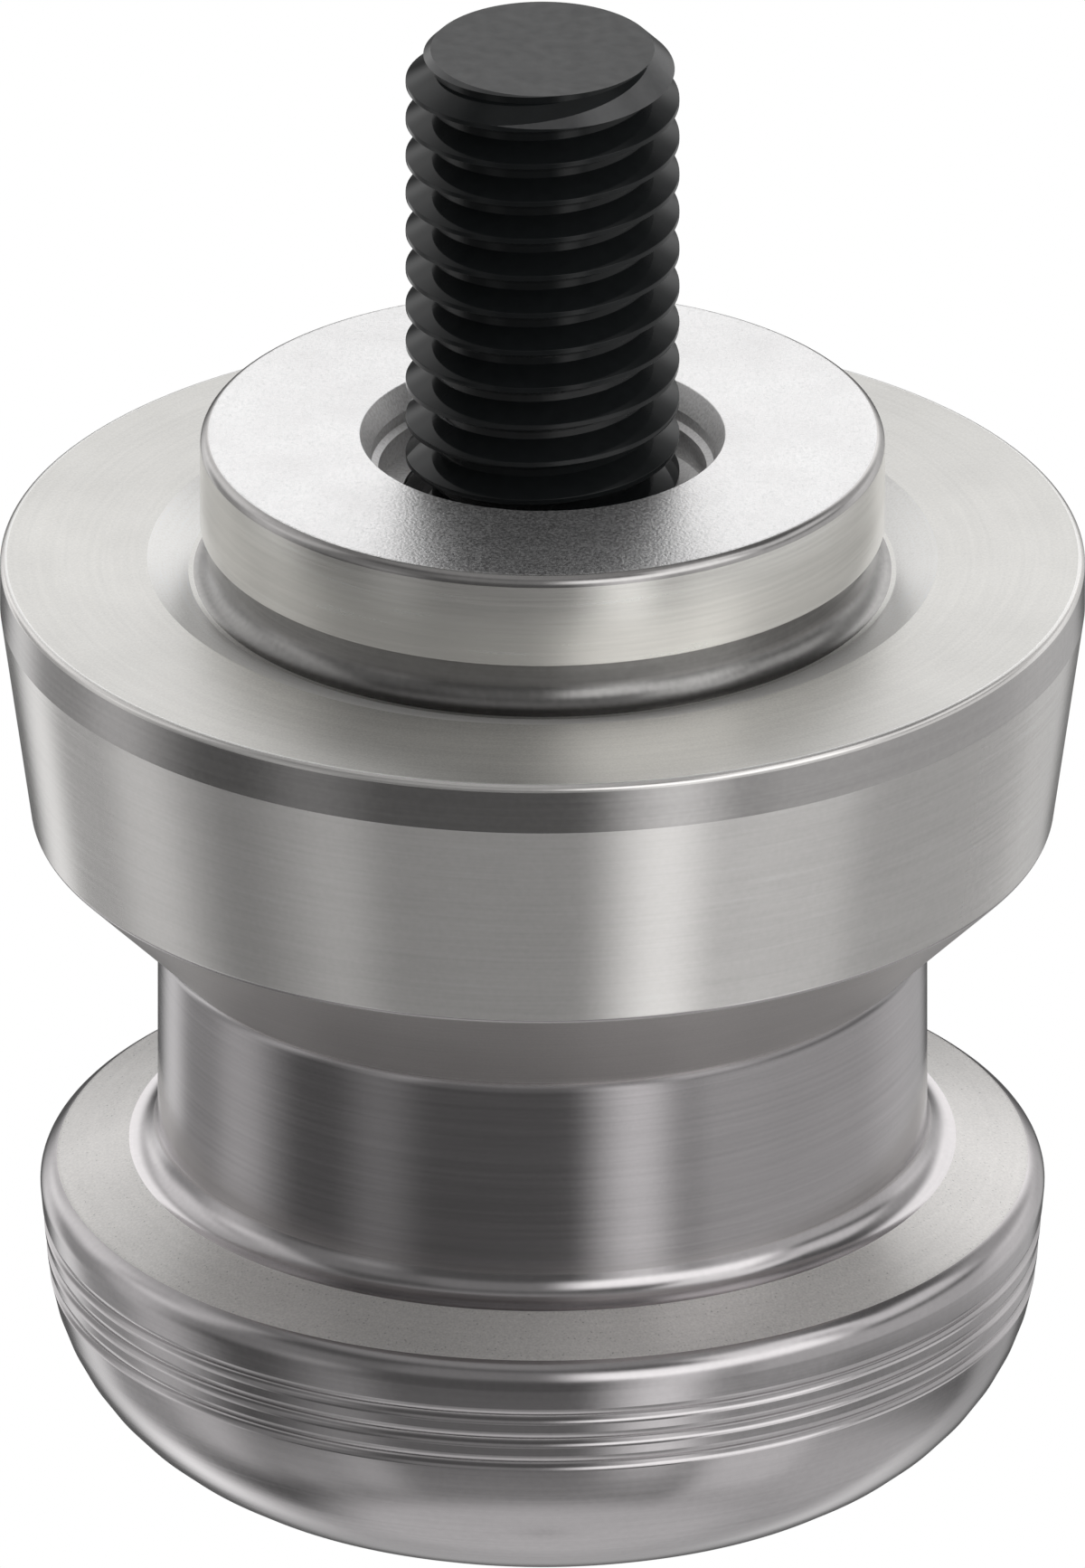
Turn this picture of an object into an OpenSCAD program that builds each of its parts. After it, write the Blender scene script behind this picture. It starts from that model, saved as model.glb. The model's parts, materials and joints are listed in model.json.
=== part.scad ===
// Clamping pin for a quick change workholding system.
// A hardened steel pin is turned in one piece: a locating spigot on top, a broad collar that
// sits on the clamping module, a waist for the clamping slides and a head with a sloping
// clamping face. A socket head screw comes up through it and fastens it to a fixture plate.
// Millimetres. The origin is the centre of the foot, +Z points up along the screw.

/* [Heights] */
// Height of the collar's top face above the foot
collar_face_h = 35.12; // [33:0.02:40]
// Height of the spigot above the collar's top face
spigot_h = 5; // [4:0.1:8]
// Height of the inner edge of the clamping face above the foot
clamp_face_h = 11.82; // [11:0.02:14]

/* [Spigot] */
// Diameter of the locating spigot
spigot_d = 25; // [22:0.5:30]
// Rounding of the spigot's top edge
spigot_edge_r = 0.4; // [0.1:0.1:1]
// Length of the ground cylinder on the spigot, from its top face
spigot_land = 3.56; // [2:0.02:3.8]
// Depth of the relief groove below the ground cylinder, measured on the radius
relief_depth = 0.63; // [0.2:0.01:1.5]
// Radius of the fillet at the foot of the relief groove
relief_fillet_r = 1; // [0.4:0.1:1.2]
// How far the relief groove goes below the collar's top face
relief_sink = 0.485; // [0.2:0.005:1]
// Width of the dished ring that leads from the relief groove up to the collar's top face
dish_w = 1.51; // [0.5:0.01:3]

/* [Collar] */
// Diameter of the collar
collar_d = 39.6; // [37:0.1:50]
// Height of the straight band below the collar's top face
collar_band_h = 1.87; // [1:0.01:3]
// Height of the tapered side below the band
collar_taper_h = 8.16; // [5:0.02:9]
// Angle of the tapered side
collar_taper_a = 8; // [2:0.5:10]
// Angle of the collar's underside, from the horizontal
underside_a = 45; // [30:1:48]
// Rounding of the collar's top edge
collar_edge_r = 0.25; // [0.1:0.05:0.5]
// Rounding of the collar's lower edge
collar_low_edge_r = 0.42; // [0.1:0.02:1]

/* [Neck] */
// Diameter of the neck in the waist
neck_d = 28.08; // [25:0.02:31]
// Radius of the two fillets at the ends of the neck
neck_fillet_r = 1; // [0.4:0.1:1.2]

/* [Head] */
// Diameter of the head at its upper corner, before the corner is rounded
head_d = 36.8; // [35:0.1:38]
// Slope of the clamping face, down towards its outer edge
clamp_face_a = 16; // [5:0.5:20]
// Taper of the head's side, narrower towards the foot
head_taper_a = 5.5; // [1:0.5:8]
// Rounding of the head's upper corner
head_edge_r = 1; // [0.3:0.1:1.5]
// Large rounding between the head's side and the foot
foot_round_r = 8; // [7.6:0.1:8.2]
// Number of turned grooves round the head
groove_n = 3; // [1:1:4]
// Height of the top groove above the foot
groove_top_h = 8.93; // [8.6:0.01:9.1]
// Distance from one groove to the next
groove_pitch = 0.98; // [0.8:0.01:1.1]
// Width of a groove where it opens
groove_w = 0.54; // [0.3:0.01:0.7]
// Depth of a groove
groove_depth = 0.13; // [0.05:0.01:0.25]

/* [Screw] */
// Nominal diameter of the screw
screw_d = 10; // [8:0.5:11]
// Length of the screw below its head
screw_l = 45; // [40:1:60]
// Length of the thread
thread_l = 32; // [20:0.5:34]
// How much thinner the plain shank is than the thread's crests
shank_thinner = 0.1; // [0.05:0.05:0.3]
// Pitch of the thread
thread_pitch = 1.5; // [1:0.25:2]
// Width and height of the bevel on the screw's tip
tip_bevel = 0.91; // [0.5:0.01:1.5]
// Diameter of the screw's head
screw_head_d = 16; // [13:0.5:18]
// Height of the screw's head
screw_head_h = 10; // [8:0.5:10.4]
// Bevel on the screw head's edge
screw_head_bevel = 0.5; // [0.2:0.1:1]
// Fillet between the screw's head and its shank
shank_fillet_r = 0.4; // [0.2:0.05:0.45]
// Width across the flats of the hexagon socket
socket_af = 8; // [6:0.5:9]
// Depth of the hexagon socket
socket_depth = 5; // [4:0.5:6]

/* [Bore] */
// How far the screw's head lies inside the foot
head_sunk = 0.6; // [0.2:0.1:1]
// Room round the screw's head, on the radius
head_room = 0.75; // [0.5:0.05:1]
// Room round the screw's shank, on the radius
shank_room = 0.5; // [0.45:0.05:1]
// Room between the screw and the threaded part of the bore, on the radius
thread_room = 0.125; // [0.05:0.025:0.25]
// Pitch of the bore's own larger thread, which a jacking screw fits
jack_pitch = 1.75; // [1:0.25:2]
// Length of the threaded part of the bore
jack_l = 20; // [10:1:22]
// Depth of the plain mouth above the threaded part
mouth_depth = 2.35; // [2:0.05:4]
// Depth of the flared part of the mouth
flare_depth = 1.04; // [0.5:0.02:1.4]
// Radius that the mouth gains in its flare
flare_w = 0.47; // [0.2:0.01:1]
// Bevel below the flare, on the radius
mouth_bevel = 0.2; // [0.1:0.05:0.5]
// Bevel at the foot end of the counterbore
counterbore_bevel = 0.25; // [0.1:0.05:0.4]

/* [Hidden] */
$fn = 96;
// Cutting tools reach this far past the faces that they open
over = 1;
// Flat that is left between a fillet and the face beside it
small_flat = 0.05;
// Straight pieces in each rounded corner of the outline
arc_steps = 6;
// Straight pieces in the large rounding at the foot
foot_steps = 24;
// Straight pieces in one turn of the thread
turn_steps = 32;
// Angle at which the thread's crest leaves the shank, anticlockwise from +X seen from above
thread_start_a = 10;
// Flat crest as a share of the pitch, and depth of a full external thread as a share of it
crest_share = 1 / 8;
depth_share = 0.6134;
// Angle between a flank and the plane across the screw
flank_a = 30;

pin_h = collar_face_h + spigot_h;
spigot_r = spigot_d / 2;
relief_r = spigot_r - relief_depth;
relief_h = collar_face_h - relief_sink;
relief_out_r = relief_r + relief_fillet_r + small_flat;
collar_r = collar_d / 2;
band_h = collar_face_h - collar_band_h;
collar_low_h = band_h - collar_taper_h;
collar_low_r = collar_r - collar_taper_h * tan(collar_taper_a);
neck_r = neck_d / 2;
neck_top_h = collar_low_h - (collar_low_r - neck_r) * tan(underside_a);
clamp_in_r = neck_r + neck_fillet_r + small_flat;
head_r = head_d / 2;
head_corner_h = clamp_face_h - (head_r - clamp_in_r) * tan(clamp_face_a);
foot_corner_r = head_r - head_corner_h * tan(head_taper_a);

screw_r = screw_d / 2;
shank_r = (screw_d - shank_thinner) / 2;
screw_head_r = screw_head_d / 2;
seat_h = screw_head_h + head_sunk;
tip_h = seat_h + screw_l;
thread_low_h = tip_h - thread_l;
counterbore_r = screw_head_r + head_room;
shank_bore_r = screw_r + shank_room;
jack_core_r = screw_r + thread_room;
jack_r = jack_core_r + jack_pitch / 2;
mouth_h = pin_h - mouth_depth;
jack_low_h = mouth_h - jack_l;
flare_h = pin_h - flare_depth;

// Arc that rounds the corner p between its neighbours a and b with radius r
function corner(a, p, b, r, steps) =
    let (
        u = (a - p) / norm(a - p),
        v = (b - p) / norm(b - p),
        half = acos(u * v) / 2,
        run = r / tan(half),
        centre = p + (u + v) / norm(u + v) * r / sin(half),
        from = p + u * run - centre,
        to = p + v * run - centre,
        start = atan2(from[1], from[0]),
        turn = atan2(from[0] * to[1] - from[1] * to[0], from * to)
    )
    [for (i = [0 : steps]) centre + r * [cos(start + turn * i / steps), sin(start + turn * i / steps)]];

// Outer outline of the pin: radius, height, rounding and the pieces in that rounding
outline = [
    [0, 0, 0, 0],
    [foot_corner_r, 0, foot_round_r, foot_steps],
    [head_r, head_corner_h, head_edge_r, arc_steps],
    [clamp_in_r, clamp_face_h, 0, 0],
    [neck_r, clamp_face_h, neck_fillet_r, arc_steps],
    [neck_r, neck_top_h, neck_fillet_r, arc_steps],
    [collar_low_r, collar_low_h, collar_low_edge_r, arc_steps],
    [collar_r, band_h, 0, 0],
    [collar_r, collar_face_h, collar_edge_r, arc_steps],
    [relief_out_r + dish_w, collar_face_h, 0, 0],
    [relief_out_r, relief_h, 0, 0],
    [relief_r, relief_h, relief_fillet_r, arc_steps],
    [relief_r, pin_h - spigot_land, 0, 0],
    [spigot_r, pin_h - spigot_land, 0, 0],
    [spigot_r, pin_h, spigot_edge_r, arc_steps],
    [0, pin_h, 0, 0]
];

function spot(row) = [row[0], row[1]];

function rounded(rows) = [
    for (i = [0 : len(rows) - 1])
        let (
            row = rows[i],
            before = rows[(i + len(rows) - 1) % len(rows)],
            after = rows[(i + 1) % len(rows)]
        )
        each row[2] == 0 ? [spot(row)] : corner(spot(before), spot(row), spot(after), row[2], row[3])
];

// Radius of the head's tapered side and foot rounding at a height above the foot
foot_arc_x = foot_corner_r + foot_round_r * tan(head_taper_a) - foot_round_r / cos(head_taper_a);
function side_r(h) =
    h > foot_round_r * (1 - sin(head_taper_a))
        ? foot_corner_r + h * tan(head_taper_a)
        : foot_arc_x + sqrt(pow(foot_round_r, 2) - pow(foot_round_r - h, 2));

// One turned groove, cut by a round nosed tool
groove_tool_r = (pow(groove_w / 2, 2) + pow(groove_depth, 2)) / (2 * groove_depth);
module groove(h) {
    rotate_extrude()
        translate([side_r(h) - groove_depth + groove_tool_r, h])
            circle(r = groove_tool_r, $fn = 32);
}

// Everything that is bored out of the pin along its axis
module bore() {
    flare_low_r = jack_r + mouth_bevel;
    flare_slope = flare_w / flare_depth;
    translate([0, 0, -over])
        cylinder(r = counterbore_r, h = seat_h + over);
    translate([0, 0, -over])
        cylinder(
            r1 = counterbore_r + counterbore_bevel + over,
            r2 = counterbore_r,
            h = counterbore_bevel + over
        );
    cylinder(r = shank_bore_r, h = jack_low_h);
    cylinder(r = jack_core_r, h = mouth_h + over);
    translate([0, 0, mouth_h])
        cylinder(r = jack_r, h = mouth_depth + over);
    translate([0, 0, flare_h - 2 * mouth_bevel])
        cylinder(r1 = jack_r, r2 = flare_low_r, h = 2 * mouth_bevel);
    translate([0, 0, flare_h])
        cylinder(
            r1 = flare_low_r,
            r2 = flare_low_r + flare_slope * (flare_depth + over),
            h = flare_depth + over
        );
}

module clamping_pin() {
    color("silver")
        difference() {
            rotate_extrude()
                polygon(rounded(outline));
            for (i = [0 : groove_n - 1])
                groove(groove_top_h - i * groove_pitch);
            bore();
        }
}

// Form of the screw's thread
thread_depth = depth_share * thread_pitch;
core_r = screw_r - thread_depth;
crest_half = thread_pitch * crest_share / 2;
// The ridge is rooted this far inside the core, so that the two join
ridge_root = 0.2;
ridge_in_r = core_r - ridge_root;
ridge_half = crest_half + (screw_r - ridge_in_r) * tan(flank_a);

// Section of the thread's ridge after i steps along its helix
function ridge_section(i) =
    let (
        a = thread_start_a + 360 * i / turn_steps,
        h = thread_low_h + thread_pitch * i / turn_steps,
        form = [
            [ridge_in_r, -ridge_half],
            [screw_r, -crest_half],
            [screw_r, crest_half],
            [ridge_in_r, ridge_half]
        ]
    )
    [for (p = form) [p[0] * cos(a), p[0] * sin(a), h + p[1]]];

// The ridge is one polyhedron, from inside the shank to past the tip
module thread_ridge() {
    from = -turn_steps;
    to = ceil(turn_steps * (thread_l / thread_pitch + 1));
    points = [for (i = [from : to]) each ridge_section(i)];
    last = 4 * (to - from);
    sides = [
        for (i = [0 : 4 : last - 4], k = [0 : 3])
            [i + k, i + (k + 1) % 4, i + 4 + (k + 1) % 4, i + 4 + k]
    ];
    ends = [[3, 2, 1, 0], [last, last + 1, last + 2, last + 3]];
    polyhedron(points = points, faces = concat(ends, sides), convexity = 10);
}

// What the bevel and the flat end leave of the thread at the tip
module tip_form() {
    bevel_h = tip_h - tip_bevel;
    translate([0, 0, seat_h])
        cylinder(r = screw_r + over, h = bevel_h - over - seat_h);
    translate([0, 0, bevel_h - over])
        cylinder(r1 = screw_r + over, r2 = screw_r - tip_bevel, h = over + tip_bevel);
}

module hexagon_socket() {
    corner_r = socket_af / 2 / cos(30);
    lead_in = corner_r - socket_af / 2;
    translate([0, 0, head_sunk - over])
        cylinder(r = corner_r, h = socket_depth + over, $fn = 6);
    translate([0, 0, head_sunk - over])
        cylinder(r1 = corner_r + over, r2 = corner_r - lead_in, h = lead_in + over);
}

module socket_screw() {
    color("#2a2a2b")
        difference() {
            union() {
                translate([0, 0, head_sunk])
                    cylinder(
                        r1 = screw_head_r - screw_head_bevel,
                        r2 = screw_head_r,
                        h = screw_head_bevel
                    );
                translate([0, 0, head_sunk + screw_head_bevel])
                    cylinder(r = screw_head_r, h = screw_head_h - screw_head_bevel);
                translate([0, 0, seat_h])
                    cylinder(r1 = shank_r + shank_fillet_r, r2 = shank_r, h = shank_fillet_r);
                translate([0, 0, seat_h])
                    cylinder(r = shank_r, h = thread_low_h - seat_h);
                translate([0, 0, seat_h])
                    cylinder(r = core_r, h = screw_l);
                intersection() {
                    thread_ridge();
                    tip_form();
                }
            }
            hexagon_socket();
        }
}

clamping_pin();
socket_screw();
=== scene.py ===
import json
import math
import bpy
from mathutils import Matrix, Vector

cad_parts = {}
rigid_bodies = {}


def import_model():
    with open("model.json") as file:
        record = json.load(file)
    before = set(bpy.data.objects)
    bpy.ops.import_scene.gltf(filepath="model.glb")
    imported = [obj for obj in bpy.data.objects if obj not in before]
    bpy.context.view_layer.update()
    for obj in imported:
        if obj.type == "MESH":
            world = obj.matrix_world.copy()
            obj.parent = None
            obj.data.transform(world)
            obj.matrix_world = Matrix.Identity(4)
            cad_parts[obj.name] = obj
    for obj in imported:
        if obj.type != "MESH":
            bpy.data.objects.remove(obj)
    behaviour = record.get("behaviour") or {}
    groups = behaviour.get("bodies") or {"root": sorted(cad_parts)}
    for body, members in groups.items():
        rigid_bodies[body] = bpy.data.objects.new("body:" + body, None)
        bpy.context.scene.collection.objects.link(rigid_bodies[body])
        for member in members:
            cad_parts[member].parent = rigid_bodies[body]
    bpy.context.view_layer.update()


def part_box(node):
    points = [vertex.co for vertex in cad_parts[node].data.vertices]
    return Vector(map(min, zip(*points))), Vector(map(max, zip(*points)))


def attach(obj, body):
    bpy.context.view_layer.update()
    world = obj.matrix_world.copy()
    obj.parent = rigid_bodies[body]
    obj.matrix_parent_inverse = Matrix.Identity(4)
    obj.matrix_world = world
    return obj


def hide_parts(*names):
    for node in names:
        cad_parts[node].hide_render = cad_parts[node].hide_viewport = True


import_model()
mm = 0.001
weldGap = 0.0005 * mm  # points nearer together than this become one


def frameSize(length):
    # A length of the CAD frame, in millimetres
    return round(length / mm, 3)


# Drawing with the mesh tools. An outline is a row of points in the XZ plane, drawn from point to
# point by extruding, with its arcs spun about their own centres. All of it is in millimetres.
def deselectEverything():
    for thing in bpy.context.view_layer.objects:
        thing.select_set(False)


def pickOnly(piece):
    deselectEverything()
    piece.select_set(True)
    bpy.context.view_layer.objects.active = piece


def startOutline(name, spot):
    # A small plane, merged to the one point from which the outline is extruded
    deselectEverything()
    bpy.ops.mesh.primitive_plane_add(size=mm)
    piece = bpy.context.active_object
    piece.name = name
    piece.data.name = name
    bpy.ops.object.mode_set(mode="EDIT")
    bpy.ops.mesh.select_all(action="SELECT")
    bpy.ops.mesh.merge(type="CENTER")
    bpy.ops.transform.translate(value=(spot[0] * mm, 0, spot[1] * mm))
    return piece


def drawLine(spot, to):
    step = ((to[0] - spot[0]) * mm, 0, (to[1] - spot[1]) * mm)
    bpy.ops.mesh.extrude_region_move(TRANSFORM_OT_translate={"value": step})


def centreOfArc(a, b, c):
    # The centre of the circle through three points
    ax, az, bx, bz = a[0] - c[0], a[1] - c[1], b[0] - c[0], b[1] - c[1]
    area = 2 * (ax * bz - az * bx)
    x = (bz * (ax * ax + az * az) - az * (bx * bx + bz * bz)) / area
    z = (ax * (bx * bx + bz * bz) - bx * (ax * ax + az * az)) / area
    return (c[0] + x, c[1] + z)


def angleBetween(centre, a, b):
    # The turn from one point to the other round a centre, the shorter way
    start = math.atan2(a[1] - centre[1], a[0] - centre[0])
    end = math.atan2(b[1] - centre[1], b[0] - centre[0])
    return (end - start + math.pi) % (2 * math.pi) - math.pi


def drawArc(spot, mid, to, arcStep):
    # From one point through a second to a third, in steps of about arcStep degrees
    centre = centreOfArc(spot, mid, to)
    turn = angleBetween(centre, spot, mid) + angleBetween(centre, mid, to)
    steps = max(2, round(abs(turn) / math.radians(arcStep)))
    hub = (centre[0] * mm, 0, centre[1] * mm)
    bpy.ops.mesh.spin(steps=steps, angle=turn, center=hub, axis=(0, 1, 0))


def roundCorner(before, corner, after):
    # The two ends and the middle of the arc that rounds a corner (radius, height, rounding)
    p = Vector(corner[:2])
    u = (Vector(before[:2]) - p).normalized()
    v = (Vector(after[:2]) - p).normalized()
    half = u.angle(v) / 2
    run = corner[2] / math.tan(half)
    bisector = (u + v).normalized()
    mid = p + bisector * (corner[2] / math.sin(half) - corner[2])
    return tuple(p + u * run), tuple(mid), tuple(p + v * run)


def drawCorners(name, corners, arcStep=9):
    # A corner is (radius, height, rounding), or (radius, height, "through", middle point) where an
    # arc comes in from the point before it
    piece = startOutline(name, corners[0])
    spot = corners[0][:2]
    for i, corner in enumerate(corners[1:], 1):
        if len(corner) == 4:
            drawArc(spot, corner[3], corner[:2], arcStep)
            spot = corner[:2]
        elif corner[2] == 0:
            drawLine(spot, corner)
            spot = corner[:2]
        else:
            start, mid, end = roundCorner(corners[i - 1], corner, corners[i + 1])
            drawLine(spot, start)
            drawArc(start, mid, end, arcStep)
            spot = end
    return piece


def closeSurface():
    bpy.ops.mesh.select_all(action="SELECT")
    bpy.ops.mesh.remove_doubles(threshold=weldGap)
    bpy.ops.mesh.normals_make_consistent(inside=False)
    bpy.ops.object.mode_set(mode="OBJECT")


def spinRound(segments):
    # Turns the outline into a solid round the Z axis, as on a lathe
    bpy.ops.mesh.select_all(action="SELECT")
    bpy.ops.mesh.spin(steps=segments, angle=2 * math.pi, center=(0, 0, 0), axis=(0, 0, 1))
    closeSurface()


def applyModifier(piece, name):
    pickOnly(piece)
    bpy.ops.object.modifier_apply(modifier=name)


def combine(piece, tool, operation):
    # Joins, cuts or trims a piece with a second closed mesh, which is used up
    cut = piece.modifiers.new("combine", "BOOLEAN")
    cut.operation = operation
    cut.solver = "EXACT"
    cut.object = tool
    applyModifier(piece, "combine")
    bpy.data.objects.remove(tool)


def sweepThread(name, section, pitch, turns, steps):
    # A closed section of a thread's ridge, swept up its helix and capped at both ends
    ridge = drawCorners(name, section)
    closeSurface()
    helix = ridge.modifiers.new("helix", "SCREW")
    helix.axis = "Z"
    helix.angle = 2 * math.pi
    helix.screw_offset = pitch * mm
    helix.iterations = turns
    helix.steps = steps
    helix.render_steps = steps
    helix.use_merge_vertices = False
    applyModifier(ridge, "helix")
    bpy.ops.object.mode_set(mode="EDIT")
    bpy.ops.mesh.select_all(action="SELECT")
    bpy.ops.mesh.remove_doubles(threshold=weldGap)
    bpy.ops.mesh.select_all(action="SELECT")
    bpy.ops.mesh.fill_holes(sides=0)
    closeSurface()
    return ridge


def ridgeSection(radius, crest, base, flankAngle, height, soft):
    # From the base to the crest and back: outwards where base is the smaller radius
    spread = crest / 2 + abs(radius - base) * math.tan(math.radians(flankAngle))
    return [
        (base, height - spread, 0),
        (radius, height - crest / 2, soft),
        (radius, height + crest / 2, soft),
        (base, height + spread, 0),
        (base, height - spread, 0),
    ]


def smoothTurned(piece, angle):
    # Smooth shading, with the corner normals held to the larger faces so that flats look flat
    pickOnly(piece)
    bpy.ops.object.shade_smooth_by_angle(angle=math.radians(angle))
    held = piece.modifiers.new("flats", "WEIGHTED_NORMAL")
    held.keep_sharp = True
    applyModifier(piece, "flats")


# The clamping pin, one turned piece of hardened steel. Here and below, H is a height above the
# foot, R a radius, W a width and L a length, in millimetres, and angles are in degrees.
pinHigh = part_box("clamping_pin")[1]
pin = {
    "topH": frameSize(pinHigh.z),
    "collarR": frameSize(pinHigh.x),
    "spigotH": 5,
    "clampFaceH": 11.82,
    "spigotR": 12.5,
    "spigotEdge": 0.4,
    "spigotLand": 3.56,
    "reliefDepth": 0.63,
    "reliefFillet": 1,
    "reliefSink": 0.485,  # how far the dish runs down below the collar's face
    "dishW": 1.51,
    "bandH": 1.87,  # the height of the straight band, from the collar's face down
    "taperH": 8.16,  # and that of the taper below it
    "taperAngle": 8,
    "collarEdge": 0.25,
    "collarLowEdge": 0.42,
    "neckR": 14.04,
    "neckFillet": 1,
    "filletRoom": 0.05,  # the flat left between a fillet and the next edge
    "headR": 18.4,
    "clampFaceAngle": 16,
    "headTaper": 5.5,
    "headEdge": 1,
    "footRound": 8,
    "grooveHeights": (6.97, 7.95, 8.93),
    "grooveW": 0.54,
    "grooveDepth": 0.13,
    "lipW": 0.24,
    "lipDrop": 0.08,
    "lipBend": (0.25, 0.45),  # the middle of its rounding, as shares of its drop and width
    "boreR": 6,
    "flareR": 6.67,
    "flareLowR": 6.26,
    "flareDepth": 0.84,
    "mouthWall": 0.43,
    "mouthLedge": 0.12,
    "mouthDepth": 2.35,
    "jackPitch": 1.75,
    "jackCoreR": 5.125,
    "jackCrest": 0.4375,
    "jackL": 20,
    "crestSoft": 0.04,
    "flankAngle": 30,
    "ridgeRoot": 0.2,  # how deep a ridge's root lies in the wall that carries it
    "shankBoreR": 5.5,
    "seatH": 10.6,
    "counterboreR": 8.75,
    "counterboreBevel": 0.25,
    "edgeBreak": 0.05,
    "arcStep": 7.5,
    "turnSteps": 96,
    "segments": 256,
    "smoothAngle": 7.8,
}

reliefR = pin["spigotR"] - pin["reliefDepth"]
collarFaceH = pin["topH"] - pin["spigotH"]
reliefH = collarFaceH - pin["reliefSink"]
landLowH = pin["topH"] - pin["spigotLand"]
dishR = reliefR + pin["reliefFillet"] + pin["filletRoom"]
bandLowH = collarFaceH - pin["bandH"]
collarLowH = bandLowH - pin["taperH"]
collarLowR = pin["collarR"] - pin["taperH"] * math.tan(math.radians(pin["taperAngle"]))
neckTopH = collarLowH - (collarLowR - pin["neckR"])
clampInR = pin["neckR"] + pin["neckFillet"] + pin["filletRoom"]
clampFaceFall = (pin["headR"] - clampInR) * math.tan(math.radians(pin["clampFaceAngle"]))
headCornerH = pin["clampFaceH"] - clampFaceFall
jackHighH = pin["topH"] - pin["mouthDepth"]
jackLowH = jackHighH - pin["jackL"]
trimRoom = 1  # how far a cutting or trimming piece reaches past what it cuts
spareTurns = 2  # turns that a thread has beyond its length before it is trimmed


def sideRadius(h):
    # Radius of the head's side at a height: the taper above, the large rounding below
    taper = math.radians(pin["headTaper"])
    footR = pin["headR"] - headCornerH * math.tan(taper)
    r = pin["footRound"]
    if h > r * (1 - math.sin(taper)):
        return footR + h * math.tan(taper)
    centre = footR + r * math.tan(taper) - r / math.cos(taper)
    return centre + math.sqrt(r * r - (r - h) ** 2)


def sidePoint(h):
    return (sideRadius(h), h)


def grooveCorners():
    # The foot's rounding and the head's side, with the turned grooves and their worn upper lips
    p = pin
    half = p["grooveW"] / 2
    roundTop = p["footRound"] * (1 - math.sin(math.radians(p["headTaper"])))
    bendIn, bendUp = p["lipBend"]
    corners = []
    low = 0
    for h in p["grooveHeights"]:
        start = h - half
        if start < roundTop:
            corners.append((*sidePoint(start), "through", sidePoint((low + start) / 2)))
        else:
            corners.append((*sidePoint(start), 0))
        deep = (sideRadius(h) - p["grooveDepth"], h)
        end = h + half - p["lipW"] / 2
        corners.append((sideRadius(end) - p["lipDrop"], end, "through", deep))
        bend = (sideRadius(end) - p["lipDrop"] * bendIn, end + p["lipW"] * bendUp)
        low = end + p["lipW"]
        corners.append((*sidePoint(low), "through", bend))
    return corners


def pinOutline():
    # Up the outside from the foot, over the spigot and down the bore
    p = pin
    soft = p["edgeBreak"]
    flareH = p["topH"] - p["flareDepth"]
    mouthWallH = flareH - p["mouthWall"]
    footIn = p["counterboreR"] + p["counterboreBevel"]
    return [
        (footIn, 0, 0),
        (sideRadius(0), 0, 0),
        *grooveCorners(),
        (p["headR"], headCornerH, p["headEdge"]),
        (clampInR, p["clampFaceH"], 0),
        (p["neckR"], p["clampFaceH"], p["neckFillet"]),
        (p["neckR"], neckTopH, p["neckFillet"]),
        (collarLowR, collarLowH, p["collarLowEdge"]),
        (p["collarR"], bandLowH, 0),
        (p["collarR"], collarFaceH, p["collarEdge"]),
        (dishR + p["dishW"], collarFaceH, 0),
        (dishR, reliefH, 0),
        (reliefR, reliefH, p["reliefFillet"]),
        (reliefR, landLowH, 0),
        (p["spigotR"], landLowH, soft),
        (p["spigotR"], p["topH"], p["spigotEdge"]),
        (p["flareR"], p["topH"], soft),
        (p["flareLowR"], flareH, 0),
        (p["flareLowR"], mouthWallH, 0),
        (p["boreR"], mouthWallH - p["mouthLedge"], 0),
        (p["boreR"], jackLowH, 0),
        (p["shankBoreR"], jackLowH, 0),
        (p["shankBoreR"], p["seatH"], 0),
        (p["counterboreR"], p["seatH"], 0),
        (p["counterboreR"], p["counterboreBevel"], 0),
        (footIn, 0, 0),
    ]


def makePin():
    p = pin
    body = drawCorners("clampingPin", pinOutline(), p["arcStep"])
    spinRound(p["segments"])
    print("pin: body turned")

    wall = p["boreR"] + p["ridgeRoot"]
    turns = math.ceil(p["jackL"] / p["jackPitch"]) + spareTurns
    start = jackLowH - p["jackPitch"]
    crestR, flank = p["jackCoreR"], p["flankAngle"]
    section = ridgeSection(crestR, p["jackCrest"], wall, flank, start, p["crestSoft"])
    ridge = sweepThread("jackThread", section, p["jackPitch"], turns, p["turnSteps"])
    outR = wall + trimRoom
    inR = p["shankBoreR"] - trimRoom
    sleeve = drawCorners(
        "sleeve",
        [
            (outR, jackLowH, 0),
            (outR, jackHighH, 0),
            (inR, jackHighH, 0),
            (inR, jackLowH, 0),
            (outR, jackLowH, 0),
        ],
    )
    spinRound(p["segments"])
    combine(ridge, sleeve, "INTERSECT")
    combine(body, ridge, "UNION")
    print("pin: bore threaded")
    return body


# The socket head screw that comes up through the pin
screwLow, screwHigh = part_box("socket_screw")
screw = {
    "tipH": frameSize(screwHigh.z),
    "lowH": frameSize(screwLow.z),
    "headR": frameSize(screwHigh.x),
    "seatH": pin["seatH"],
    "threadL": 32,
    "threadR": 5,
    "shankR": 4.95,
    "coreR": 4.08,
    "pitch": 1.5,
    "crest": 0.1875,
    "crestSoft": 0.03,
    "flankAngle": 30,
    "ridgeRoot": 0.2,
    "crestAtSide": 23.558,  # a height at which the thread's crest passes the screw's +X side
    "tipBevel": 0.91,
    "headBevel": 0.5,
    "headSoft": 0.1,
    "shankFillet": 0.4,
    "socketFlats": 8,
    "socketDepth": 5,
    "socketSides": 6,
    "turnSteps": 96,
    "segments": 128,
    "smoothAngle": 12,
}


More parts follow.
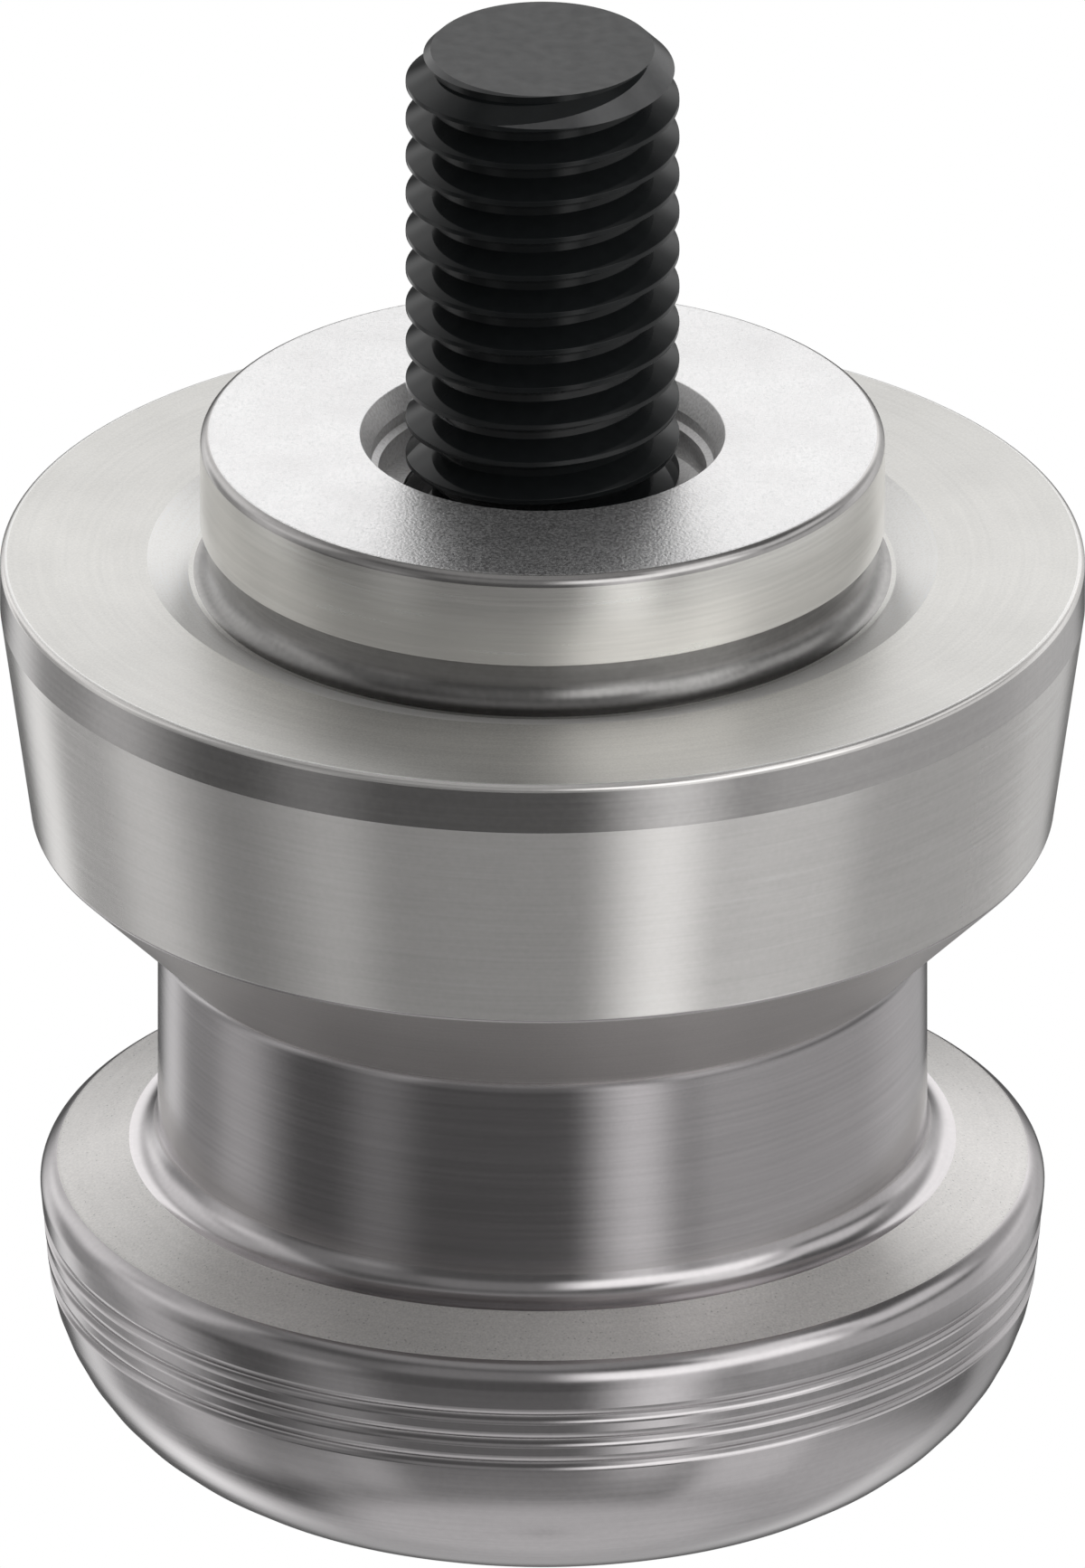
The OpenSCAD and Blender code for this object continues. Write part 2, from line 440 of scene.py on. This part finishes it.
def makeScrew():
    s = screw
    threadLow = s["tipH"] - s["threadL"]
    body = drawCorners(
        "socketScrew",
        [
            (0, s["lowH"], 0),
            (s["headR"] - s["headBevel"], s["lowH"], 0),
            (s["headR"], s["lowH"] + s["headBevel"], s["headSoft"]),
            (s["headR"], s["seatH"], s["headSoft"]),
            (s["shankR"], s["seatH"], s["shankFillet"]),
            (s["shankR"], threadLow, 0),
            (s["coreR"], threadLow, 0),
            (s["coreR"], s["tipH"], 0),
            (0, s["tipH"], 0),
        ],
    )
    spinRound(s["segments"])
    print("screw: body turned")

    root = s["coreR"] - s["ridgeRoot"]
    turns = math.ceil(s["threadL"] / s["pitch"]) + spareTurns
    start = s["crestAtSide"] - s["pitch"]
    crestR, flank = s["threadR"], s["flankAngle"]
    section = ridgeSection(crestR, s["crest"], root, flank, start, s["crestSoft"])
    ridge = sweepThread("ridge", section, s["pitch"], turns, s["turnSteps"])
    blankR = s["threadR"] + trimRoom
    blank = drawCorners(
        "blank",
        [
            (0, s["seatH"], 0),
            (blankR, s["seatH"], 0),
            (blankR, s["tipH"] - s["tipBevel"] - trimRoom, 0),
            (s["threadR"] - s["tipBevel"], s["tipH"], 0),
            (0, s["tipH"], 0),
        ],
    )
    spinRound(s["segments"])
    combine(ridge, blank, "INTERSECT")
    combine(body, ridge, "UNION")
    print("screw: thread cut")

    halfSide = math.pi / s["socketSides"]
    deselectEverything()
    bpy.ops.mesh.primitive_cylinder_add(
        vertices=s["socketSides"],
        radius=s["socketFlats"] / 2 / math.cos(halfSide) * mm,
        depth=(s["socketDepth"] + trimRoom) * mm,
        location=(0, 0, (s["lowH"] + (s["socketDepth"] - trimRoom) / 2) * mm),
        rotation=(0, 0, halfSide),
    )
    key = bpy.context.active_object
    bpy.ops.object.transform_apply(location=True, rotation=True, scale=True)
    combine(body, key, "DIFFERENCE")
    print("screw: socket cut")
    return body


clampingPin = makePin()
print("pin turned:", len(clampingPin.data.polygons), "faces")
socketScrew = makeScrew()
print("screw made:", len(socketScrew.data.polygons), "faces")

smoothTurned(clampingPin, pin["smoothAngle"])
smoothTurned(socketScrew, screw["smoothAngle"])


# Finishes. Tool marks run round the Z axis, and the light spreads across them, along the surface.
noiseBand = (0.3, 0.7)  # a noise texture's values mostly lie in this range


def newMaterial(name):
    material = bpy.data.materials.new(name)
    material.use_nodes = True
    return material, material.node_tree.nodes, material.node_tree.links


def mathNode(nodes, links, operation, first, second=None, third=None):
    node = nodes.new("ShaderNodeMath")
    node.operation = operation
    for i, value in enumerate((first, second, third)):
        if value is None:
            continue
        if isinstance(value, (int, float)):
            node.inputs[i].default_value = value
        else:
            links.new(value, node.inputs[i])
    return node.outputs["Value"]


def latheSpace(nodes, links, sweep, grain):
    # Slow round the piece and fast along its outline: radius and height are added, which serves
    # sides and faces alike
    place = nodes.new("ShaderNodeTexCoord")
    split = nodes.new("ShaderNodeSeparateXYZ")
    links.new(place.outputs["Object"], split.inputs["Vector"])
    x, y, z = split.outputs
    flat = nodes.new("ShaderNodeCombineXYZ")
    links.new(x, flat.inputs["X"])
    links.new(y, flat.inputs["Y"])
    radius = nodes.new("ShaderNodeVectorMath")
    radius.operation = "LENGTH"
    links.new(flat.outputs["Vector"], radius.inputs[0])
    along = mathNode(nodes, links, "ADD", radius.outputs["Value"], z)
    space = nodes.new("ShaderNodeCombineXYZ")
    links.new(mathNode(nodes, links, "MULTIPLY", x, 1 / (sweep * mm)), space.inputs["X"])
    links.new(mathNode(nodes, links, "MULTIPLY", y, 1 / (sweep * mm)), space.inputs["Y"])
    links.new(mathNode(nodes, links, "MULTIPLY", along, 1 / (grain * mm)), space.inputs["Z"])
    return space.outputs["Vector"]


def noiseNode(nodes, links, space, scale, detail):
    noise = nodes.new("ShaderNodeTexNoise")
    noise.inputs["Scale"].default_value = scale
    noise.inputs["Detail"].default_value = detail
    links.new(space, noise.inputs["Vector"])
    return noise.outputs["Fac"]


def spreadNode(nodes, links, value, low, high):
    # A noise value, stretched over a range
    spread = nodes.new("ShaderNodeMapRange")
    spread.inputs["From Min"].default_value = noiseBand[0]
    spread.inputs["From Max"].default_value = noiseBand[1]
    spread.inputs["To Min"].default_value = low
    spread.inputs["To Max"].default_value = high
    links.new(value, spread.inputs["Value"])
    return spread.outputs["Result"]


def toneNode(nodes, links, factor, colour, swing):
    # A colour that goes lighter and darker by a share of itself, with a noise value
    tone = nodes.new("ShaderNodeMix")
    tone.data_type = "RGBA"
    tone.inputs["A"].default_value = tuple(c * (1 - swing) for c in colour) + (1,)
    tone.inputs["B"].default_value = tuple(c * (1 + swing) for c in colour) + (1,)
    links.new(spreadNode(nodes, links, factor, 0, 1), tone.inputs["Factor"])
    return tone.outputs["Result"]


quarterTurn = 0.25  # turns the spread of light from along the tool marks to across them
cloudShare = 0.25  # how much of a finish's change of tone comes from its wide clouds


def latheSteel(name, finish):
    material, nodes, links = newMaterial(name)
    shader = nodes["Principled BSDF"]
    shader.inputs["Metallic"].default_value = finish["metal"]
    shader.inputs["Anisotropic"].default_value = finish["brushing"]
    shader.inputs["Anisotropic Rotation"].default_value = quarterTurn
    tangent = nodes.new("ShaderNodeTangent")
    tangent.direction_type = "RADIAL"
    tangent.axis = "Z"
    links.new(tangent.outputs["Tangent"], shader.inputs["Tangent"])

    space = latheSpace(nodes, links, finish["sweep"], finish["grain"])
    marks = noiseNode(nodes, links, space, scale=1, detail=3)
    place = nodes.new("ShaderNodeTexCoord").outputs["Object"]
    specks = noiseNode(nodes, links, place, scale=1 / (finish["speck"] * mm), detail=2)
    cloud = noiseNode(nodes, links, place, scale=1 / (finish["cloud"] * mm), detail=2)

    wear = mathNode(nodes, links, "MULTIPLY", specks, finish["fleck"])
    wear = mathNode(nodes, links, "MULTIPLY_ADD", marks, 1 - finish["fleck"], wear)
    clouded = mathNode(nodes, links, "MULTIPLY", cloud, cloudShare)
    patchy = mathNode(nodes, links, "MULTIPLY_ADD", wear, 1 - cloudShare, clouded)
    tone = toneNode(nodes, links, patchy, finish["colour"], finish["tone"])
    links.new(tone, shader.inputs["Base Color"])

    low = finish["roughness"] - finish["unevenness"]
    high = finish["roughness"] + finish["unevenness"]
    links.new(spreadNode(nodes, links, wear, low, high), shader.inputs["Roughness"])

    pits = mathNode(nodes, links, "MULTIPLY", specks, finish["pits"])
    relief = mathNode(nodes, links, "MULTIPLY_ADD", marks, finish["depth"], pits)
    bump = nodes.new("ShaderNodeBump")
    bump.inputs["Strength"].default_value = 1
    bump.inputs["Distance"].default_value = mm
    links.new(relief, bump.inputs["Height"])
    links.new(bump.outputs["Normal"], shader.inputs["Normal"])
    return material


# Two plain finishes, from which the others start. Lengths are in millimetres.
lathed = {
    "metal": 1,  # how far it mirrors in its own colour, the rest being a soft white
    "roughness": 0.2,
    "unevenness": 0.02,  # how far the roughness changes with the wear
    "brushing": 0.7,  # how far the light spreads across the tool marks
    "sweep": 9,  # the length of a tool mark
    "grain": 0.16,  # and its width
    "speck": 0.25,  # the size of a speck
    "cloud": 5,  # and of a wide cloud of tone
    "tone": 0.1,  # how far the colour goes lighter and darker
    "fleck": 0.4,  # the share of the wear that is specks, the rest being tool marks
    "depth": 0.0008,  # of the tool marks
    "pits": 0.0002,  # the depth of the specks
}
satin = {
    "metal": 1,
    "roughness": 0.42,
    "unevenness": 0.03,
    "brushing": 0.3,
    "sweep": 8,
    "grain": 0.2,
    "speck": 0.09,
    "cloud": 5,
    "tone": 0.14,
    "fleck": 0.6,
    "depth": 0.0015,
    "pits": 0.0004,
}

finishes = {
    "turned": {
        **lathed,
        "colour": (0.51, 0.489, 0.496),
        "speck": 0.12,
        "tone": 0.11,
        "fleck": 0.27,
    },
    "rim": {
        **lathed,
        "colour": (0.59, 0.574, 0.566),
    },
    # The relief wall under the spigot: its dark colour is painted shade, the shade under the
    # spigot's overhang.
    "relief": {
        **lathed,
        "colour": (0.34, 0.333, 0.326),
        "roughness": 0.24,
        "tone": 0.2,
    },
    "head": {
        **lathed,
        "colour": (0.6, 0.576, 0.583),
        "roughness": 0.16,
        "brushing": 0.6,
        "tone": 0.08,
    },
    "ground": {
        **lathed,
        "colour": (0.965, 0.942, 0.92),
        "metal": 0.72,
        "roughness": 0.17,
        "brushing": 0.72,
        "sweep": 5,
        "grain": 0.14,
        "speck": 0.2,
        "cloud": 4,
        "tone": 0.08,
        "depth": 0.001,
        "pits": 0.0003,
    },
    "register": {
        **lathed,
        "colour": (0.96, 0.943, 0.903),
        "metal": 0.74,
        "brushing": 0.78,
        "sweep": 5,
        "grain": 0.14,
        "speck": 0.14,
        "cloud": 4,
        "fleck": 0.15,
        "depth": 0.001,
    },
    "faced": {
        **satin,
        "colour": (0.757, 0.748, 0.724),
        "tone": 0.16,
    },
    "seat": {
        **satin,
        "colour": (0.815, 0.795, 0.774),
        "metal": 0.5,
        "roughness": 0.3,
        "brushing": 0.75,
        "tone": 0.2,
        "fleck": 0.75,
    },
    "dished": {
        **satin,
        "colour": (0.98, 0.97, 0.95),
        "metal": 0.56,
        "roughness": 0.31,
        "brushing": 0.6,
        "speck": 0.08,
        "fleck": 0.65,
        "depth": 0.0005,
    },
    "undercut": {
        **satin,
        "colour": (0.46, 0.439, 0.434),
        "metal": 0.5,
        "roughness": 0.4,
        "speck": 0.08,
        "fleck": 0.55,
    },
    "blasted": {
        **satin,
        "colour": (0.965, 0.956, 0.957),
        "metal": 0.93,
        "roughness": 0.38,
        "unevenness": 0.09,
        "brushing": 0.1,
        "sweep": 6,
        "grain": 0.3,
        "speck": 0.11,
        "cloud": 3,
        "tone": 0.19,
        "fleck": 0.92,
        "depth": 0.0003,
        "pits": 0.014,
    },
    "bored": {
        **satin,
        "colour": (0.92, 0.91, 0.905),
        "metal": 0.6,
        "roughness": 0.4,
        "unevenness": 0.05,
        "brushing": 0.4,
        "sweep": 3,
        "grain": 0.18,
        "speck": 0.12,
        "cloud": 3,
        "tone": 0.24,
        "fleck": 0.8,
        "pits": 0.009,
    },
}

near = 0.01  # how closely a face has to meet an edge's place
close = 0.001  # and how closely at the collar's face, where a rounding begins
leans = {"level": 0.99, "top": 0.9, "taper": -0.1, "underside": -0.5}  # bounds on the normal Z


def finishOfPin(radius, height, lean):
    # Which finish a face of the pin has, from the place of its centre and its lean, the normal's Z
    p = pin
    inFoot = radius < p["counterboreR"] + near and height < p["seatH"] + near
    if radius < p["flareR"] or inFoot:
        return "bored"
    if height > p["topH"] - near:
        return "blasted"
    if height > p["topH"] - p["spigotEdge"] + near:
        return "rim"
    if height > landLowH + near:
        return "register"
    inDish = reliefH - near < height < collarFaceH - close and radius > dishR
    if inDish and lean > leans["top"]:
        return "dished"
    if height > reliefH - near and lean > leans["level"]:
        return "faced"
    if collarFaceH - p["collarEdge"] < height < collarFaceH and radius > dishR + p["dishW"]:
        return "ground"
    if collarLowH < height < bandLowH and radius > collarLowR and lean < leans["taper"]:
        return "ground"
    if neckTopH < height < collarLowH and lean < leans["underside"]:
        return "undercut"
    if height < near:
        return "faced"
    if radius > clampInR and lean > leans["top"]:
        return "seat"
    # The relief wall and its fillet get the darker finish, which is painted shade under the
    # spigot's overhang.
    if height > reliefH - near and radius < dishR + near:
        return "relief"
    if height > bandLowH and radius > dishR:
        return "rim"
    if height < p["clampFaceH"] + p["neckFillet"]:
        return "head"
    return "turned"


def finishPin(piece):
    piece.data.materials.clear()
    names = list(finishes)
    for name in names:
        piece.data.materials.append(latheSteel(name + "Steel", finishes[name]))
    for face in piece.data.polygons:
        spot = face.center / mm
        finish = finishOfPin(math.hypot(spot.x, spot.y), spot.z, face.normal.z)
        face.material_index = names.index(finish)


# Black oxide on the screw, a little mottled. The mottling's size is in millimetres, and its swing
# is the share by which the colour and the roughness change.
mottling = {"size": 0.5, "detail": 4, "swing": 0.1}
blacking = {
    "flank": {"colour": (0.0132, 0.015, 0.0158), "roughness": 0.07, "ior": 1.36},
    # The pale colour of the chamfer at the tip is a painted highlight.
    "bevel": {"colour": (0.085, 0.086, 0.088), "roughness": 0.2, "ior": 1.62},
    "end": {"colour": (0.034, 0.035, 0.036), "roughness": 0.4, "ior": 1.5},
}
bevelLean = (0.65, 0.75)  # bounds on the normal Z of the tip's bevel, which lies at 45 degrees


def blackSteel(name, finish):
    material, nodes, links = newMaterial(name)
    shader = nodes["Principled BSDF"]
    shader.inputs["Metallic"].default_value = 0
    shader.inputs["IOR"].default_value = finish["ior"]
    place = nodes.new("ShaderNodeTexCoord").outputs["Object"]
    scale = 1 / (mottling["size"] * mm)
    mottle = noiseNode(nodes, links, place, scale, mottling["detail"])
    swing = mottling["swing"]
    tone = toneNode(nodes, links, mottle, finish["colour"], swing)
    links.new(tone, shader.inputs["Base Color"])
    low, high = finish["roughness"] * (1 - swing), finish["roughness"] * (1 + swing)
    links.new(spreadNode(nodes, links, mottle, low, high), shader.inputs["Roughness"])
    return material


def finishScrew(piece):
    # The bare end is paler than the blacked thread. The chamfer at the tip is paler still, and that
    # pale colour is a painted highlight.
    piece.data.materials.clear()
    names = list(blacking)
    for name in names:
        piece.data.materials.append(blackSteel(name + "Black", blacking[name]))
    for face in piece.data.polygons:
        height = face.center.z / mm
        leansAsBevel = bevelLean[0] < face.normal.z < bevelLean[1]
        finish = "flank"
        if height > screw["tipH"] - near:
            finish = "end"
        # The chamfer at the tip gets the painted highlight.
        elif height > screw["tipH"] - screw["tipBevel"] and leansAsBevel:
            finish = "bevel"
        face.material_index = names.index(finish)


finishPin(clampingPin)
finishScrew(socketScrew)
print("finishes laid on")

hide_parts("clamping_pin")
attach(clampingPin, "root")
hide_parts("socket_screw")
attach(socketScrew, "root")

# Camera: a parallel view from 25 degrees above the horizon, as in the photograph. Lengths are in
# millimetres, and the aim is a height on the part's axis.
camera = {
    "elevation": 25,
    "frameHeight": 57.209,
    "aimHeight": 26.01,
    "distance": 400,
    "clipNear": 10,
    "clipFar": 5000,
}
eye = bpy.data.cameras.new("camera")
eye.type = "ORTHO"
eye.ortho_scale = camera["frameHeight"] * mm
eye.clip_start = camera["clipNear"] * mm
eye.clip_end = camera["clipFar"] * mm
eyeObject = bpy.data.objects.new("camera", eye)
bpy.context.scene.collection.objects.link(eyeObject)
rise = math.radians(camera["elevation"])
eyeObject.location = (
    0,
    -camera["distance"] * math.cos(rise) * mm,
    (camera["aimHeight"] + camera["distance"] * math.sin(rise)) * mm,
)
eyeObject.rotation_euler = (math.pi / 2 - rise, 0, 0)
bpy.context.scene.camera = eyeObject
print("camera placed")

# Floor, a plain pale one that is seen but casts no light or shadow on the part
floorSettings = {"size": 3000, "glow": 1}
deselectEverything()
bpy.ops.mesh.primitive_plane_add(size=floorSettings["size"] * mm, location=(0, 0, 0))
floor = bpy.context.active_object
floor.name = "floor"
floor.visible_glossy = False
floor.visible_diffuse = False
floor.visible_shadow = False
floorPaint, nodes, links = newMaterial("floorPaint")
nodes.remove(nodes["Principled BSDF"])
glow = nodes.new("ShaderNodeEmission")
glow.inputs["Strength"].default_value = floorSettings["glow"]
links.new(glow.outputs["Emission"], nodes["Material Output"].inputs["Surface"])
floor.data.materials.append(floorPaint)
print("floor laid")

# Studio light: soft boxes and strips round the part, the brightest at its front right. Each one has
# its azimuth (0 is the camera's side, 90 is +X), its elevation, its half width, its half height and
# its soft edge, in degrees, and its strength.
softboxes = {
    "room": (0, 0, 200, 100, 5, 0.1),
    "key": (41, 27, 33, 15, 9, 1.3),
    "high": (72, 52, 25, 9, 7, 0.9),
    "front": (-12, 32, 26, 18, 9, 0.14),
    "frontRight": (29, -17, 11, 32, 11, 0.76),
    "frontMid": (-10, -38, 58, 6, 5, 0.07),
    "frontLow": (-20, -57, 66, 8, 6, 0.16),
    "frontLeft": (-72, 15, 30, 25, 9, 0.12),
    "highLeft": (-118, 34, 36, 18, 9, 0.4),
    "rightPanel": (104, -11, 58, 20.5, 7, 0.43),
    "rightLow": (62, -46, 16, 12, 7, 0.2),
    "backRight": (131, -4, 13, 20, 9, 0.2),
    "rimRight": (99, 31, 20, 11, 7, 0.68),
    "wall": (175, 28, 24, 15, 9, 0.88),
    "wideWall": (180, 22, 62, 16, 8, 0.33),
    "backLeft": (-149, -20, 9, 34, 8, 0.66),
    "leftPanel": (-116, -15, 30, 36, 9, 0.24),
    "left": (-104, -12, 9, 40, 7, 0.2),
    "leftFront": (-50, -25, 9, 34, 8, 0.12),
    "floorLeft": (-75, -50, 30, 9, 7, 0.15),
    "floorRight": (93, -53, 46, 12, 6, 0.42),
    "floorBack": (-175, -54, 44, 12, 6, 0.38),
    "floorBackRight": (154, -42, 15, 9, 5, 0.3),
    "table": (0, -78, 200, 12, 6, 0.5),
    "ceiling": (0, 75, 200, 15, 8, 0.2),
}


def softEdge(nodes, links, angle, half, soft):
    # One inside the half width and nought outside it, with a smooth change over the soft edge
    edge = nodes.new("ShaderNodeMapRange")
    edge.interpolation_type = "SMOOTHSTEP"
    edge.inputs["From Min"].default_value = half + soft
    edge.inputs["From Max"].default_value = half - soft
    links.new(mathNode(nodes, links, "ABSOLUTE", angle), edge.inputs["Value"])
    return edge.outputs["Result"]


def lightStudio():
    # The world is dark but for the softboxes, whose strengths add up where they overlap
    world = bpy.data.worlds.new("studio")
    bpy.context.scene.world = world
    world.use_nodes = True
    nodes, links = world.node_tree.nodes, world.node_tree.links
    way = nodes.new("ShaderNodeTexCoord")
    split = nodes.new("ShaderNodeSeparateXYZ")
    links.new(way.outputs["Generated"], split.inputs["Vector"])
    x, y, z = split.outputs
    back = mathNode(nodes, links, "MULTIPLY", y, -1)
    azimuth = mathNode(nodes, links, "DEGREES", mathNode(nodes, links, "ARCTAN2", x, back))
    elevation = mathNode(nodes, links, "DEGREES", mathNode(nodes, links, "ARCSINE", z))
    light = 0
    for side, lift, halfWidth, halfHeight, soft, strength in softboxes.values():
        turn = mathNode(nodes, links, "SUBTRACT", azimuth, side)
        turn = mathNode(nodes, links, "WRAP", turn, 180, -180)
        climb = mathNode(nodes, links, "SUBTRACT", elevation, lift)
        across = softEdge(nodes, links, turn, halfWidth, soft)
        up = softEdge(nodes, links, climb, halfHeight, soft)
        glow = mathNode(nodes, links, "MULTIPLY", across, up)
        light = mathNode(nodes, links, "MULTIPLY_ADD", glow, strength, light)
    background = nodes["Background"]
    background.inputs["Color"].default_value = (1, 1, 1, 1)
    links.new(light, background.inputs["Strength"])
    print("studio lit:", len(softboxes), "softboxes")


lightStudio()
bpy.context.scene.view_settings.view_transform = "Standard"
